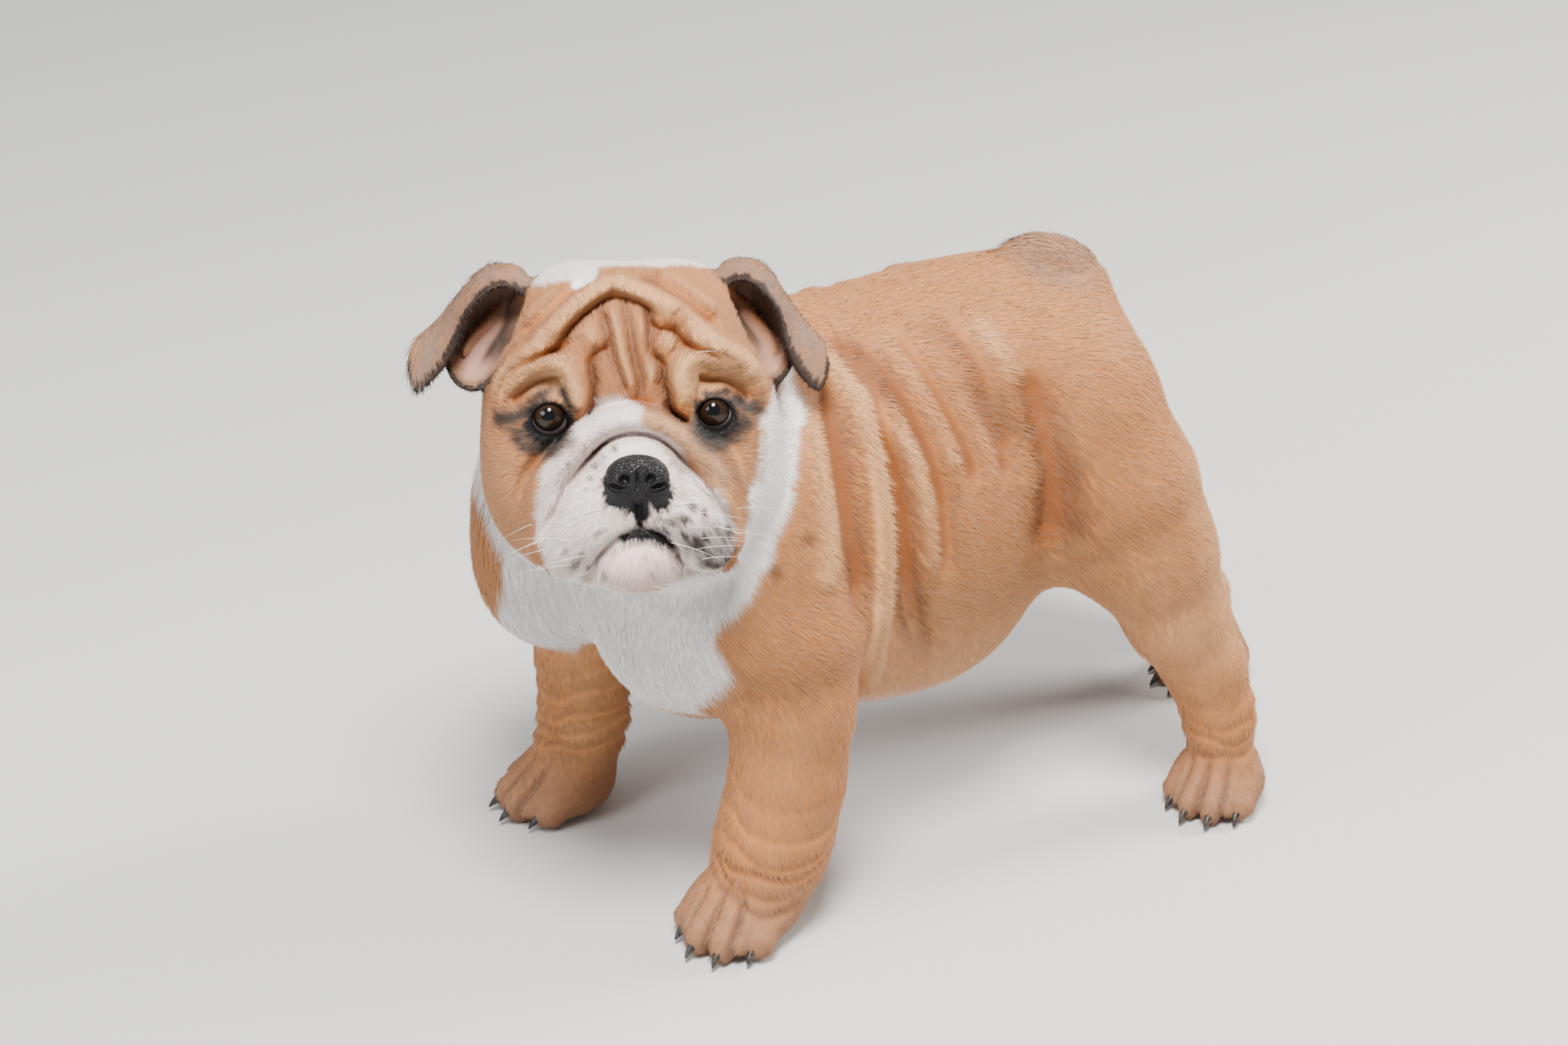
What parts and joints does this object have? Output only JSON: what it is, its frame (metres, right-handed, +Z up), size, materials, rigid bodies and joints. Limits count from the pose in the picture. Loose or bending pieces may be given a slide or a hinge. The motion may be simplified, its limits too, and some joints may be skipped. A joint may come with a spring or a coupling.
{
  "type": "english bulldog puppy",
  "caption": "Life-size standing figure of a bulldog puppy with a wrinkled face, folded ears, short legs and a stub of a tail, for display or as a scene animal.",
  "frame": {"origin": "on the floor under the middle of the bounding box", "axes": "+X to the left side of the dog, -Y the way its body faces, +Z up"},
  "size_m": [0.222, 0.4733, 0.3328],
  "materials": {
    "tan_coat": "short velvety fur",
    "white_coat": "short velvety fur",
    "ears": "very short fur over skin",
    "chin": "pink skin with sparse fur",
    "nose_leather": "moist, pebbled",
    "eyes": "wet, clear front",
    "claws": "horn, satin"
  },
  "bodies": {
    "root": {"belly": "tan_coat", "chest": "tan_coat", "claw_front_left_1": "claws", "claw_front_left_2": "claws", "claw_front_left_3": "claws", "claw_front_left_4": "claws", "claw_front_right_1": "claws", "claw_front_right_2": "claws", "claw_front_right_3": "claws", "claw_front_right_4": "claws", "claw_hind_left_1": "claws", "claw_hind_left_2": "claws", "claw_hind_left_3": "claws", "claw_hind_left_4": "claws", "claw_hind_right_1": "claws", "claw_hind_right_2": "claws", "claw_hind_right_3": "claws", "claw_hind_right_4": "claws", "ear_left": "ears", "ear_right": "ears", "eye_left": "eyes", "eye_right": "eyes", "front_leg_left": "tan_coat", "front_leg_right": "tan_coat", "front_paw_left": "tan_coat", "front_paw_right": "tan_coat", "head": "tan_coat", "hind_leg_left": "tan_coat", "hind_leg_right": "tan_coat", "hind_paw_left": "tan_coat", "hind_paw_right": "tan_coat", "lower_jaw": "chin", "neck": "white_coat", "nose": "nose_leather", "rump": "tan_coat", "tail": "tan_coat"}
  },
  "joints": []
}
